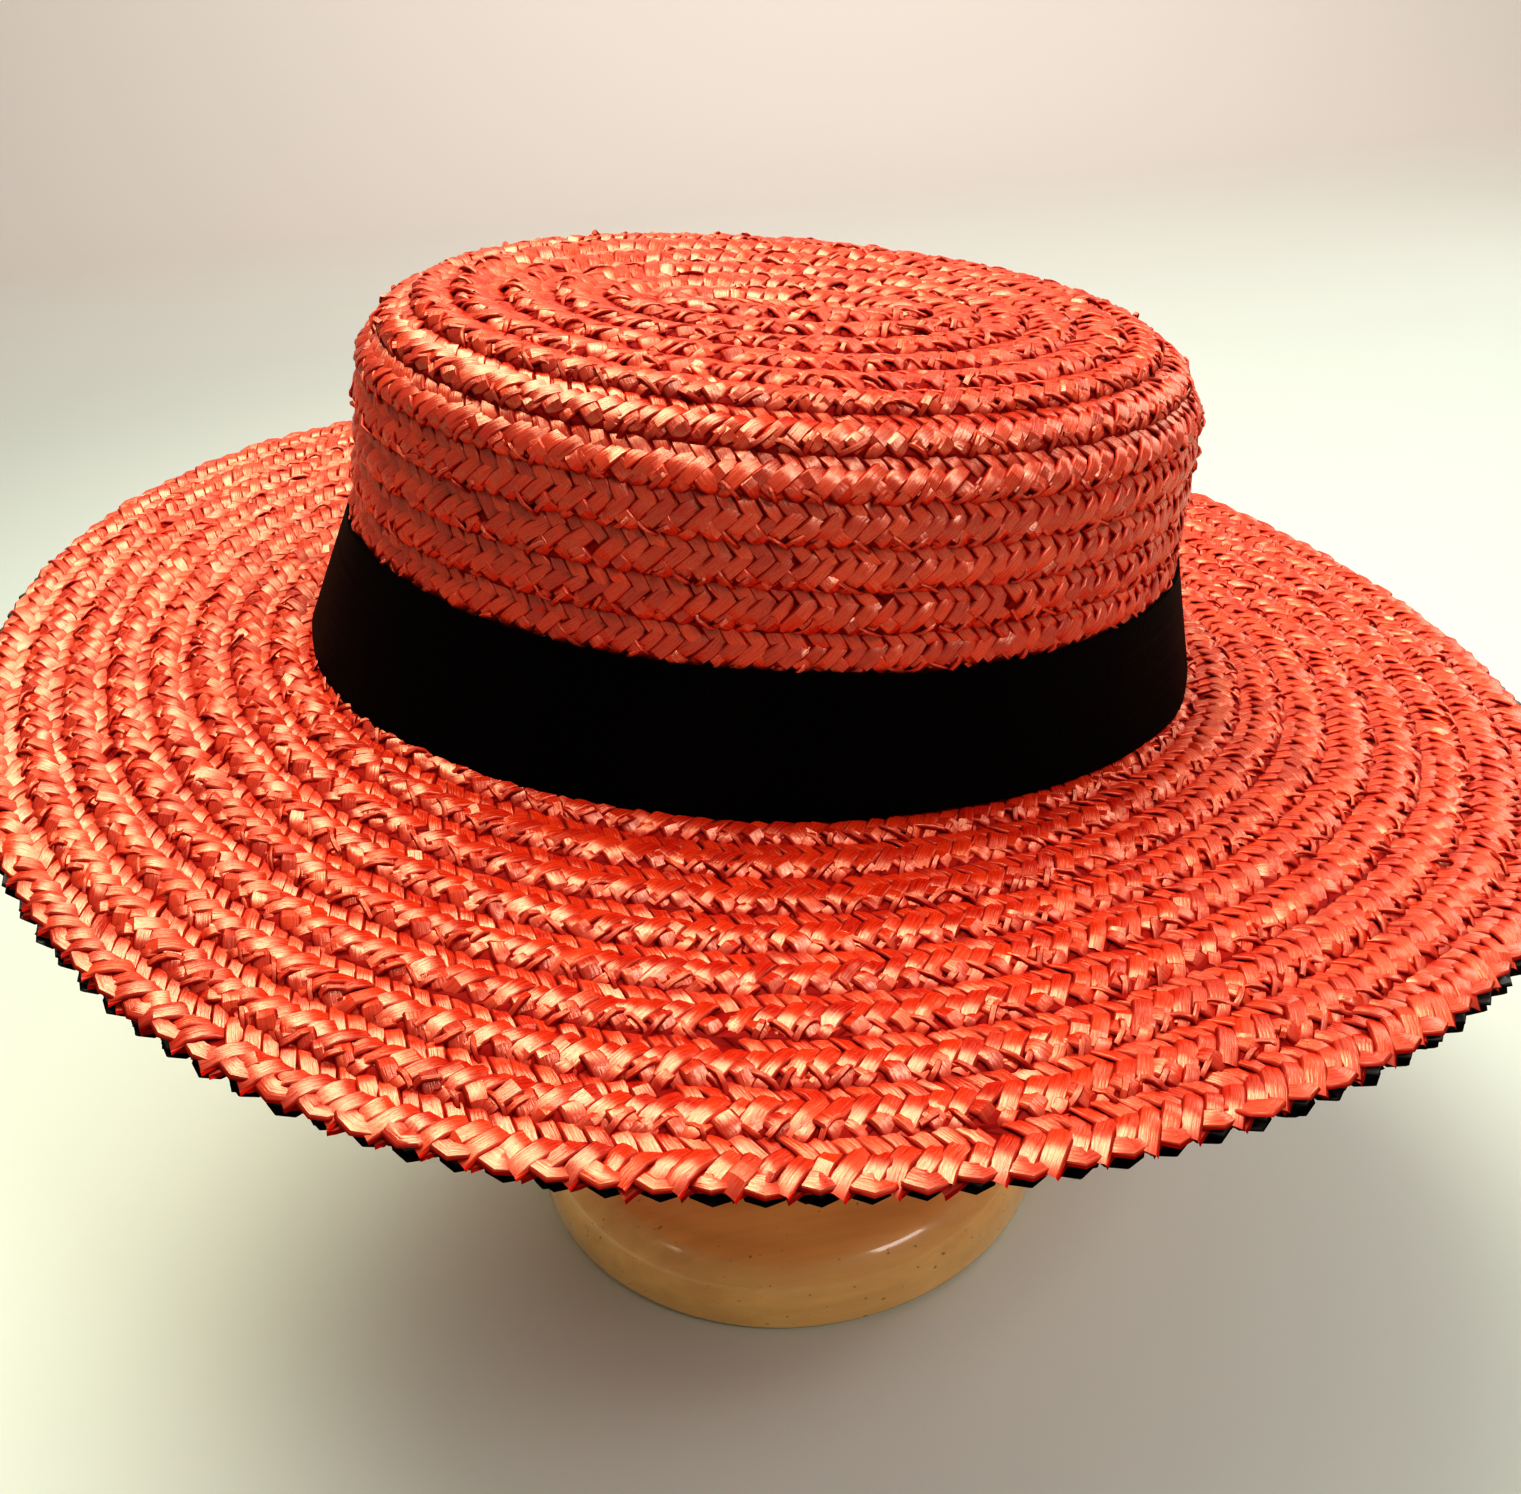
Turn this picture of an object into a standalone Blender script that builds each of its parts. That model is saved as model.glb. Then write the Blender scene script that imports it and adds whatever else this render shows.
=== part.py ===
"""Straw boater hat with a ribbon band, sitting a little tilted on a turned wooden hat stand.

Run it in Blender 4.5: blender --background --python part.py
Lengths are metres and +Z is up. The stand's foot rests on z = 0, centred on the origin.
The hat is drawn level in its own frame, with its rim at height 0 and its long axis along X,
and an empty carries it to its place on the stand.
"""

import math
from collections import namedtuple

import bmesh
import bpy
from mathutils import Euler, Vector

MM = 0.001

# Walls and clearances
STRAW_WALL = 2.0 * MM
RIBBON_WALL = 1.0 * MM
SEAT_GAP = 0.3 * MM

# Crown, whose rows of braid are oval, longer than wide by the same amount at every level
CROWN_HEIGHT = 85.0 * MM
CROWN_HALF_WIDTH = 80.0 * MM
OVAL_STRETCH = 20.5 * MM
SIDE_LEAN = math.radians(4.4)
CORNER_RADIUS = 20.0 * MM
TIP_START = 3.0 * MM
TIP_ROWS = 5
SIDE_ROWS = 11
ROW_STEP = 1.2 * MM

# Brim, a wider and rounder oval whose middle lies a little off the crown's
BRIM_HALF_LENGTH = 186.0 * MM
BRIM_HALF_WIDTH = 177.0 * MM
BRIM_SHIFT_X = 6.0 * MM
BRIM_SHIFT_Y = -1.0 * MM
BRIM_UNDERSIDE = 2.0 * MM
BRIM_ROWS = 9

# The warp of the brim's edge: so many waves in a turn, each with its cosine and sine height
BrimWave = namedtuple("BrimWave", "waves cosine sine")
BRIM_WAVES = (
    BrimWave(waves=1, cosine=3.4 * MM, sine=0.0 * MM),
    BrimWave(waves=2, cosine=-0.5 * MM, sine=-4.5 * MM),
    BrimWave(waves=3, cosine=-2.0 * MM, sine=0.8 * MM),
)

# The narrow braid sewn under the brim's edge
EDGE_BRAID_WIDTH = 9.0 * MM
EDGE_BRAID_OVERHANG = 0.5 * MM

# Ribbon band, which hugs the crown at its top and stands off it at its bottom
RIBBON_TOP = 36.0 * MM
RIBBON_END_FLARE = 10.0 * MM
RIBBON_FRONT_FLARE = 6.0 * MM
RIBBON_SECTIONS = 4

# Stand, a turned foot and a post with a round knob under the crown's tip
FOOT_RADIUS = 79.0 * MM
FOOT_HEIGHT = 24.0 * MM
FOOT_EDGE_RADIUS = 14.0 * MM
FOOT_SOLE_RADIUS = 3.0 * MM
FOOT_DISHING = 4.0 * MM
POST_RADIUS = 15.0 * MM
KNOB_RADIUS = 32.0 * MM

# Place of the hat on the stand
RIM_HEIGHT = 176.0 * MM
HAT_SHIFT_X = 1.0 * MM
HAT_SHIFT_Y = -8.0 * MM
TILT_FORWARD = math.radians(4.7)
TILT_SIDEWAYS = math.radians(8.2)

# Facets
OVAL_SEGMENTS = 60
ROUND_SEGMENTS = 48
CORNER_STEPS = 6
SHARP_ANGLE = math.radians(35.0)


def clear_scene():
    """Remove every object that the scene starts with."""
    for thing in list(bpy.data.objects):
        bpy.data.objects.remove(thing)


def plain_material(name, colour, roughness):
    """Make a Principled material of one colour."""
    material = bpy.data.materials.new(name)
    material.use_nodes = True
    shader = material.node_tree.nodes["Principled BSDF"]
    shader.inputs["Base Color"].default_value = (*colour, 1.0)
    shader.inputs["Roughness"].default_value = roughness
    shader.inputs["Metallic"].default_value = 0.0
    return material


def mix(start, end, share):
    """Go from start to end by a share between 0 and 1."""
    return start + (end - start) * share


def oval_ring(half_length, half_width, height, centre=(0.0, 0.0), points=OVAL_SEGMENTS):
    """Return the points of an oval. The height is a number or a function of the turn."""
    ring = []
    for index in range(points):
        turn = math.tau * index / points
        level = height(turn) if callable(height) else height
        x = centre[0] + half_length * math.cos(turn)
        y = centre[1] + half_width * math.sin(turn)
        ring.append(Vector((x, y, level)))
    return ring


def round_ring(radius, height):
    """Return the points of a circle round the stand's axis."""
    return oval_ring(radius, radius, height, points=ROUND_SEGMENTS)


def skin(name, rings, material, looped=False):
    """Bridge the rings in turn into one closed body, looped or with both ends capped."""
    shape = bmesh.new()
    loops = [[shape.verts.new(point) for point in ring] for ring in rings]
    followers = loops[1:] + loops[:1] if looped else loops[1:]
    for first, second in zip(loops, followers):
        for index in range(len(first)):
            after = (index + 1) % len(first)
            shape.faces.new((first[index], first[after], second[after], second[index]))
    if not looped:
        shape.faces.new(loops[0])
        shape.faces.new(loops[-1])
    bmesh.ops.recalc_face_normals(shape, faces=shape.faces)
    mesh = bpy.data.meshes.new(name)
    shape.to_mesh(mesh)
    shape.free()
    mesh.shade_smooth()
    mesh.set_sharp_from_angle(angle=SHARP_ANGLE)
    mesh.materials.append(material)
    piece = bpy.data.objects.new(name, mesh)
    bpy.context.collection.objects.link(piece)
    return piece


def corner_centre():
    """Return the half width and the height of the corner's centre in the crown's outline."""
    height = CROWN_HEIGHT - CORNER_RADIUS
    inset = (CORNER_RADIUS + height * math.sin(SIDE_LEAN)) / math.cos(SIDE_LEAN)
    return CROWN_HALF_WIDTH - inset, height


def crown_lengths():
    """Return the lengths of the outline's tip, corner and side, from the middle to the rim."""
    half_width, height = corner_centre()
    corner = CORNER_RADIUS * (math.pi / 2 - SIDE_LEAN)
    side = (height + CORNER_RADIUS * math.sin(SIDE_LEAN)) / math.cos(SIDE_LEAN)
    return half_width, corner, side


def crown_point(distance, proud):
    """Return the half width and height of the outline at a distance from the tip's middle.

    proud moves the point square to the outline, outward where it is positive.
    """
    tip, corner, _ = crown_lengths()
    centre_width, centre_height = corner_centre()
    if distance < tip:
        return distance, CROWN_HEIGHT + proud
    reach = CORNER_RADIUS + proud
    angle = math.pi / 2 - min(distance - tip, corner) / CORNER_RADIUS
    down = max(distance - tip - corner, 0.0)
    half_width = centre_width + reach * math.cos(angle) + down * math.sin(SIDE_LEAN)
    height = centre_height + reach * math.sin(angle) - down * math.cos(SIDE_LEAN)
    return half_width, height


def crown_half_width_at(height):
    """Return the half width of the crown's sloping side at a height, under its rows."""
    return CROWN_HALF_WIDTH - height * math.tan(SIDE_LEAN)


def crown_row_ends():
    """Return the distances from the tip's middle at which the rows of braid begin and end."""
    tip, corner, side = crown_lengths()
    ends = [tip * row / TIP_ROWS for row in range(1, TIP_ROWS)]
    ends += [tip + (corner + side) * row / SIDE_ROWS for row in range(SIDE_ROWS + 1)]
    return [TIP_START] + ends


def crown_ring(distance, proud):
    """Return the oval of the crown at a distance along its outline."""
    half_width, height = crown_point(distance, proud)
    return oval_ring(half_width + OVAL_STRETCH, half_width, height)


def crown(material):
    """Shell of overlapping rows: each row rises to its lower edge and steps down to the next."""
    ends = crown_row_ends()
    outside = []
    for start, end in zip(ends, ends[1:]):
        outside += [crown_ring(start, 0.0), crown_ring(end, ROW_STEP)]
    inside = [crown_ring(end, -STRAW_WALL) for end in ends[::-2]]
    return skin("crown", outside + inside, material)


def brim_warp(turn):
    """Return how far the brim's edge rises above its level at a turn round the hat."""
    return sum(
        wave.cosine * math.cos(wave.waves * turn) + wave.sine * math.sin(wave.waves * turn)
        for wave in BRIM_WAVES
    )


def brim_ring(share, level, overhang=0.0):
    """Return an oval of the brim, at a share of the way from the crown to the edge."""
    inner_half_width = CROWN_HALF_WIDTH + ROW_STEP + SEAT_GAP
    half_length = mix(inner_half_width + OVAL_STRETCH, BRIM_HALF_LENGTH, share) + overhang
    half_width = mix(inner_half_width, BRIM_HALF_WIDTH, share) + overhang
    centre = (BRIM_SHIFT_X * share, BRIM_SHIFT_Y * share)
    return oval_ring(half_length, half_width, lambda turn: level + brim_warp(turn) * share, centre)


def brim(material):
    """Flat shell of overlapping rows round the crown's rim, with a gently warped edge."""
    low = BRIM_UNDERSIDE + STRAW_WALL
    rings = [brim_ring(1.0, BRIM_UNDERSIDE), brim_ring(0.0, BRIM_UNDERSIDE)]
    for row in range(BRIM_ROWS):
        rings.append(brim_ring(row / BRIM_ROWS, low))
        rings.append(brim_ring((row + 1) / BRIM_ROWS, low + ROW_STEP))
    return skin("brim", rings, material, looped=True)


def edge_braid(material):
    """Ring of braid sewn to the underside of the brim along its edge."""
    top = BRIM_UNDERSIDE - SEAT_GAP
    bottom = top - STRAW_WALL
    inner_share = 1.0 - EDGE_BRAID_WIDTH / (BRIM_HALF_WIDTH - CROWN_HALF_WIDTH)
    rings = [
        brim_ring(inner_share, top),
        brim_ring(1.0, top, EDGE_BRAID_OVERHANG),
        brim_ring(1.0, bottom, EDGE_BRAID_OVERHANG),
        brim_ring(inner_share, bottom),
    ]
    return skin("edge_braid", rings, material, looped=True)


def ribbon_ring(share, proud):
    """Return an oval of the band, at a share of the way from its top edge to its bottom edge."""
    bottom = BRIM_UNDERSIDE + STRAW_WALL + ROW_STEP + SEAT_GAP
    top_half_width = crown_half_width_at(RIBBON_TOP) + ROW_STEP + SEAT_GAP
    foot_half_length = CROWN_HALF_WIDTH + OVAL_STRETCH + RIBBON_END_FLARE - RIBBON_WALL
    foot_half_width = CROWN_HALF_WIDTH + RIBBON_FRONT_FLARE - RIBBON_WALL
    half_length = mix(top_half_width + OVAL_STRETCH, foot_half_length, share)
    half_width = mix(top_half_width, foot_half_width, share)
    height = mix(RIBBON_TOP, bottom, share)
    return oval_ring(
        half_length + proud,
        half_width + proud,
        lambda turn: height + brim_warp(turn) * share * share * ribbon_reach(),
    )


def ribbon_reach():
    """Return the share of the brim's width that the band's bottom edge stands out over."""
    return RIBBON_END_FLARE / (BRIM_HALF_LENGTH - CROWN_HALF_WIDTH - OVAL_STRETCH)


def ribbon_band(material):
    """Ribbon round the foot of the crown, flaring outward to its bottom edge."""
    shares = [step / RIBBON_SECTIONS for step in range(RIBBON_SECTIONS + 1)]
    outside = [ribbon_ring(share, RIBBON_WALL) for share in shares]
    inside = [ribbon_ring(share, 0.0) for share in reversed(shares)]
    return skin("ribbon_band", outside + inside, material, looped=True)


def foot_top(radius):
    """Return the height of the foot's top face, which rises towards the post."""
    return FOOT_HEIGHT + FOOT_DISHING * (1.0 - radius / (FOOT_RADIUS - FOOT_EDGE_RADIUS))


def quarter_round(radius, reach, height, start):
    """Return rings round a quarter circle, from the angle start, about a reach and a height."""
    rings = []
    for step in range(CORNER_STEPS + 1):
        angle = start + math.pi / 2 * step / CORNER_STEPS
        rings.append(round_ring(reach + radius * math.cos(angle), height + radius * math.sin(angle)))
    return rings


def stand_foot(material):
    """Turned disc with a flat underside, a small round at its sole and a large one above."""
    sole_reach = FOOT_RADIUS - FOOT_SOLE_RADIUS
    edge_reach = FOOT_RADIUS - FOOT_EDGE_RADIUS
    rings = quarter_round(FOOT_SOLE_RADIUS, sole_reach, FOOT_SOLE_RADIUS, -math.pi / 2)
    rings += quarter_round(FOOT_EDGE_RADIUS, edge_reach, FOOT_HEIGHT - FOOT_EDGE_RADIUS, 0.0)
    rings.append(round_ring(POST_RADIUS, foot_top(POST_RADIUS)))
    return skin("stand_foot", rings, material)


def knob_centre_height():
    """Return the height at which the knob's round top just clears the tilted crown's tip."""
    up = hat_turn().to_matrix().col[2]
    tip = hat_place() + up * (CROWN_HEIGHT - STRAW_WALL)
    return (up.dot(tip) - KNOB_RADIUS - SEAT_GAP) / up.z


def stand_post(material):
    """Post standing on the foot, with a round knob that carries the crown's tip."""
    centre = knob_centre_height()
    lowest = -math.acos(POST_RADIUS / KNOB_RADIUS)
    rings = [round_ring(POST_RADIUS, foot_top(POST_RADIUS) + SEAT_GAP)]
    for step in range(2 * CORNER_STEPS):
        angle = mix(lowest, math.pi / 2, step / (2 * CORNER_STEPS))
        rings.append(
            round_ring(KNOB_RADIUS * math.cos(angle), centre + KNOB_RADIUS * math.sin(angle))
        )
    rings.append(round_ring(KNOB_RADIUS * 0.05, centre + KNOB_RADIUS))
    return skin("stand_post", rings, material)


def hat_place():
    """Return the point, close to the stand's axis, where the middle of the hat's rim lies."""
    return Vector((HAT_SHIFT_X, HAT_SHIFT_Y, RIM_HEIGHT))


def hat_turn():
    """Return the turn of the hat on the stand: forward and down to the right."""
    return Euler((TILT_FORWARD, TILT_SIDEWAYS, 0.0))


def seat_on_stand(pieces):
    """Parent the hat's pieces to an empty placed and tilted on the stand."""
    seat = bpy.data.objects.new("hat_seat", None)
    seat.location = hat_place()
    seat.rotation_euler = hat_turn()
    bpy.context.collection.objects.link(seat)
    for piece in pieces:
        piece.parent = seat


def build():
    """Build the hat and its stand."""
    clear_scene()
    straw = plain_material("red_straw", (0.72, 0.07, 0.03), 0.45)
    black_straw = plain_material("black_straw", (0.012, 0.012, 0.012), 0.35)
    ribbon = plain_material("black_ribbon", (0.008, 0.008, 0.009), 0.6)
    wood = plain_material("varnished_wood", (0.55, 0.32, 0.12), 0.3)
    seat_on_stand([crown(straw), brim(straw), edge_braid(black_straw), ribbon_band(ribbon)])
    stand_foot(wood)
    stand_post(wood)
    bpy.context.view_layer.update()


build()
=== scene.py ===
"""Dress the straw boater hat and its turned wooden stand.

The hat is worked out level in its own frame, with its rim at height 0 and its long axis along X,
and every finished point is then carried to the hat's place on the stand.
"""

import math
from collections import namedtuple

import bpy
import numpy as np
from mathutils import Euler, Matrix, Vector


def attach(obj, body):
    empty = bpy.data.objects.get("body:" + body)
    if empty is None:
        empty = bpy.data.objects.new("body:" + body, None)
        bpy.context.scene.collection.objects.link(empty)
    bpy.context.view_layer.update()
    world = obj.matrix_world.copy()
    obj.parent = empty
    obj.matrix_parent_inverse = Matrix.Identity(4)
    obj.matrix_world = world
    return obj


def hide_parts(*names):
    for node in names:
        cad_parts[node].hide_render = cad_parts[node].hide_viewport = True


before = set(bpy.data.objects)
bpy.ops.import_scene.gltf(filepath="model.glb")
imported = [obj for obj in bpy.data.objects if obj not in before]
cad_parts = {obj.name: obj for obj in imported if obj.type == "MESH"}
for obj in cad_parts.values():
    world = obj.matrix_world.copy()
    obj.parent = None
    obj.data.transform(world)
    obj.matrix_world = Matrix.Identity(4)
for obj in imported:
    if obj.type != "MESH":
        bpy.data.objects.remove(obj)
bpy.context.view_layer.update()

bl_info = {
    "name": "Straw boater hat",
    "version": (1, 0, 0),
    "blender": (4, 5, 0),
    "location": "3D View > Sidebar > Boater",
    "description": "Weaves a sewn straw boater with its ribbon and its wooden stand",
    "category": "Add Mesh",
}

MM = 0.001
BODY = "root"

# Points along a straw's path, and places across it from one long edge at -1 to the other at 1
PATH_POINTS = 5
ACROSS = (-1.0, -0.74, 0.12, 0.74, 1.0)
# Points round each closed ground and the ribbon, and their rings
Grid = namedtuple("Grid", "around down")
CROWN_GRID, BRIM_GRID = Grid(200, 100), Grid(240, 60)
EDGE_GRID, RIBBON_GRID = Grid(360, 5), Grid(480, 13)
# Points round a turned piece, and of the table that finds turns by the length run round an oval
TURNED_POINTS, TABLE_POINTS = 160, 1441
# Degrees between two faces past which the edge between them is sharp
STRAW_SHARP, SHELL_SHARP = 28, 40
# Chance moves of a path's three points, and of its creases, along the row, across it and up
POINT_MOVES, CREASE_MOVES = (1.0, 1.0, 0.6), (0.5, 0.5, 1.0)
# Straws below this share of the width are splinters, which are moved so many times as far
SPLINTER_WIDTH, SPLINTER_MOVES = 0.5, 2.2
# Least and most share of its width that a straw gets by chance
WIDTH_CHANCE = (0.86, 1.08)
# Painted shade darkens straws from this height down, and this near a row's edges in shares of its
# width
HOLLOW_TOP, HOLLOW_DEPTH, HOLLOW_MOST = 0.1 * MM, 1.0 * MM, 0.7
GROOVE_START, GROOVE_WIDTH = 0.05, 0.1
# Depth of the ground below the ridge of the plait
GROUND_DEPTH = 0.3 * MM
# Share of a repeat by which each row's plait is shifted against the row before
ROW_SHIFT = 0.618
# Rows past the tip that are still as full as the tip's
CORNER_ROWS = 3
# Seed of each face's first row
SEEDS = {"crown": 100, "brim": 200, "underbrim": 300, "edge": 400, "edge_top": 401}
# The photo's width and the camera's focal length, in the photo's pixels
PHOTO_PIXELS, FOCAL_PIXELS = 1521, 1393
# Lights: place, what they light, side in metres, watts, tint and the degrees they spread by
Light = namedtuple("Light", "name place aim size power tint spread")
HAT_MIDDLE = (0.0, 0.0, 0.2)
WARM, PLAIN, ROSY, CREAM = (1, 0.94, 0.78), (1, 0.99, 0.96), (1, 0.95, 0.98), (1, 0.95, 0.92)
LIGHTS = (
    Light("overhead", (-0.15, 0.4, 1.45), HAT_MIDDLE, 1.05, 3.4, WARM, 75),
    Light("right_window", (1.6, 0.8, 0.9), HAT_MIDDLE, 1.0, 3.1, PLAIN, 120),
    Light("front_lamp", (0.8, -1.0, 1.5), HAT_MIDDLE, 0.6, 3.5, ROSY, 120),
    Light("backdrop_light", (0.8, 0.3, 2.6), (0.6, 3.0, 0.9), 2.4, 42.0, CREAM, 130),
    Light("floor_light", (-0.62, -0.25, 0.5), (-0.36, -0.02, 0.0), 0.2, 0.07, WARM, 40),
)


def length(description, value):
    """Property for a length, given in millimetres and kept in metres."""
    return bpy.props.FloatProperty(
        description=description, default=value * MM, unit="LENGTH", precision=5
    )


def number(description, value):
    """Property for a plain number."""
    return bpy.props.FloatProperty(description=description, default=value)


def whole(description, value):
    """Property for a whole number."""
    return bpy.props.IntProperty(description=description, default=value)


def angle(description, value):
    """Property for an angle, given in degrees and kept in radians."""
    return bpy.props.FloatProperty(
        description=description, default=math.radians(value), unit="ROTATION"
    )


def colour(description, value):
    """Property for a colour."""
    return bpy.props.FloatVectorProperty(
        description=description, default=value, size=3, subtype="COLOR", min=0, max=1
    )


class HatSizes(bpy.types.PropertyGroup):
    """Sizes of the crown, the brim and their place on the stand."""

    straw_wall: length("Thickness of the sewn straw", 2.0)
    row_step: length("Height of each row's lower edge over the next row", 1.2)
    seat_gap: length("Clearance between pieces that touch", 0.3)
    crown_height: length("From the rim to the tip", 85.0)
    crown_half_width: length("Half the crown's width at its rim", 80.0)
    oval_stretch: length("Half length less half width, at every level", 20.5)
    side_lean: angle("Inward lean of the crown's side", 4.4)
    corner_radius: length("Round between the side and the tip", 20.0)
    tip_rows: whole("Rows on the tip", 5)
    side_rows: whole("Rows from the corner to the rim", 11)
    brim_half_length: length("Half the brim's length", 186.0)
    brim_half_width: length("Half the brim's width", 177.0)
    brim_shift_x: length("Middle of the brim's edge along X", 6.0)
    brim_shift_y: length("Middle of the brim's edge along Y", -1.0)
    brim_underside: length("Height of the brim's underside", 2.0)
    brim_rows: whole("Rows on the brim", 9)
    edge_width: length("Width of the braid under the brim's edge", 9.0)
    edge_setback: length("Most that the braid's loops lie within the brim", 2.6)
    edge_reach: length("Most that those loops reach past the brim", 1.9)
    edge_turn: angle("Turn at which they reach furthest", -15.0)
    rim_height: length("Height of the crown's rim over the floor", 176.0)
    shift_x: length("Middle of the rim along X", 1.0)
    shift_y: length("Middle of the rim along Y", -8.0)
    tilt_forward: angle("Lean of the hat to the front", 4.7)
    tilt_sideways: angle("Lean of the hat to the right", 8.2)


class BraidSizes(bpy.types.PropertyGroup):
    """Sizes and colours of the plaited straw."""

    period: length("Length of braid in which the plait repeats", 8.0)
    row_width: length("Row that the straws' width is right for", 9.2)
    strip_width: length("Width of a straw", 3.45)
    pillow: length("Drop from a straw's middle to its edges", 0.55)
    jitter: length("Unevenness of the plait", 0.27)
    crease: length("Height of the creases along a straw", 0.10)
    twist: number("Slope across a straw", 0.14)
    tip_fullness: number("Share of the ridge that the tip's rows have", 1.05)
    side_fullness: number("The same on the crown's side", 0.7)
    brim_fullness: number("The same on the brim", 0.85)
    edge_fullness: number("The same in the brim's last row", 0.5)
    red: colour("Dyed straw", (0.54, 0.006, 0.001))
    orange: colour("Paler straws", (0.84, 0.060, 0.010))
    black: colour("Straw of the edge braid", (0.017, 0.017, 0.015))


class RibbonSizes(bpy.types.PropertyGroup):
    """Sizes and colour of the ribbon band."""

    top: length("Height of the band's top edge", 36.0)
    end_flare: length("Reach of the bottom edge past the crown's ends", 10.0)
    front_flare: length("Reach of the bottom edge past the crown's sides", 6.0)
    wall: length("Thickness of the ribbon", 0.9)
    ripple: length("Unevenness of the band's edges", 0.25)
    rib: length("Distance between the ribbon's ribs", 0.6)
    tint: colour("Dyed ribbon", (0.0015, 0.0011, 0.0008))


class StandSizes(bpy.types.PropertyGroup):
    """Sizes and colours of the wooden stand."""

    foot_radius: length("Radius of the foot", 79.0)
    foot_height: length("Height of the foot at its edge", 24.0)
    foot_edge_radius: length("Round of the foot's upper edge", 14.0)
    foot_sole_radius: length("Round of the foot's lower edge", 3.0)
    foot_dishing: length("Rise of the foot towards the post", 4.0)
    post_radius: length("Radius of the post", 15.0)
    knob_radius: length("Radius of the knob in the crown", 32.0)
    pale: colour("Wood between the grain", (1.0, 0.64, 0.23))
    brown: colour("Grain lines", (0.76, 0.41, 0.13))


# The warp of the brim's edge: so many waves in a turn, each with its cosine and sine height
BrimWave = namedtuple("BrimWave", "waves cosine sine")
BRIM_WAVES = (
    BrimWave(1, 3.4 * MM, 0.0),
    BrimWave(2, -0.5 * MM, -4.5 * MM),
    BrimWave(3, -2.0 * MM, 0.8 * MM),
)

# One straw's visible stretch in a repeat of the plait: three points of its path, as shares of the
# repeat along the row and of the row's width across it, with their heights in millimetres, its
# width's share, and the share of the repeats that have it
Straw = namedtuple("Straw", "x0 y0 h0 x1 y1 h1 x2 y2 h2 width often")
UPPER_LANES = (
    Straw(-0.15, -0.18, 0.1, 0.12, 0.12, 0.6, 0.42, 0.44, -0.4, 1.02, 1.0),
    Straw(0.35, -0.18, 0.1, 0.62, 0.12, 0.6, 0.92, 0.44, -0.4, 1.02, 0.98),
    Straw(0.98, 0.20, -0.4, 0.56, 0.54, 1.0, 0.16, 0.96, -0.5, 1.06, 1.0),
    Straw(1.46, 0.22, -0.4, 1.14, 0.50, 0.9, 0.84, 0.78, -0.3, 1.02, 0.98),
)
FULL_LANES = UPPER_LANES + (
    Straw(0.62, 0.56, -0.3, 0.90, 0.80, 1.1, 1.15, 1.03, -1.6, 1.15, 1.0),
    Straw(0.16, 0.62, -0.5, 0.44, 0.82, 0.5, 0.70, 1.02, -1.6, 1.15, 1.0),
)
PLAIT = FULL_LANES + (
    Straw(0.50, 0.76, -0.2, 0.32, 0.94, 0.4, 0.10, 1.08, -0.5, 0.75, 0.8),
    Straw(1.02, 0.66, 0.3, 0.80, 0.86, 1.0, 0.56, 1.04, 0.1, 0.34, 0.5),
    Straw(0.10, 0.72, 0.2, 0.36, 0.92, 0.8, 0.62, 1.08, 0.1, 0.28, 0.45),
)
# The same along the brim's edge, where each straw folds back in a point
POINTED_EDGE = (
    Straw(0.36, 0.54, -0.3, 0.95, 1.14, 0.6, 1.36, 0.60, -0.8, 1.15, 1.0),
    Straw(0.86, 0.60, -0.9, 0.56, 0.78, -0.4, 0.26, 0.94, -1.2, 0.9, 1.0),
)
EDGE_PLAIT = UPPER_LANES + POINTED_EDGE
# The loops of the narrow braid under it, each a straw bent round that braid's edge
EDGE_LOOPS = (Straw(0.02, 0.46, -0.8, 0.50, 1.44, 0.8, 0.98, 0.46, -0.8, 1.0, 1.0),)
# Height of a row's ridge in millimetres at shares of its width: it rises from under the row
# above, is fullest near its lower edge and turns down there
RIDGE_SHARES = (-0.20, 0.00, 0.25, 0.55, 0.80, 0.97, 1.12)
RIDGE_HEIGHTS = (-0.8, -0.2, 0.6, 1.2, 1.5, 1.1, 0.1)
# Waves that make the ribbon uneven: so many in a turn, their height and where they start
Ripple = namedtuple("Ripple", "waves height start")
RIPPLES = (Ripple(7, 1.0, 1.0), Ripple(12, 0.7, 2.5), Ripple(19, 0.5, 0.0))

# One row of braid: the surface it lies on and its two edges there, the half sizes of the oval that
# its repeats are counted on, its plait, how full its ridge is, the repeat it starts at, its seed
# and how dark the painted shade in the grooves along its edges is
ROW_COLUMNS = "surface start end half_length half_width plait fullness phase seed groove"
Row = namedtuple("Row", ROW_COLUMNS, defaults=(1.0,))


def sizes(kind="hat"):
    """The scene's sizes of the hat, the braid, the ribbon or the stand."""
    return getattr(bpy.context.scene, "boater_" + kind)


def mix(start, end, share):
    """Go from start to end by a share between 0 and 1."""
    return start + (end - start) * share


def oval(half_length, half_width, turn, height, centre_x=0.0, centre_y=0.0):
    """Points of an oval: half length times the cosine, half width times the sine of the turn."""
    x = centre_x + half_length * np.cos(turn)
    y = centre_y + half_width * np.sin(turn)
    return np.stack(np.broadcast_arrays(x, y, height), axis=-1)


def corner_centre():
    """Half width and height of the corner's centre in the crown's outline."""
    hat = sizes()
    height = hat.crown_height - hat.corner_radius
    inset = (hat.corner_radius + height * math.sin(hat.side_lean)) / math.cos(hat.side_lean)
    return hat.crown_half_width - inset, height


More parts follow.
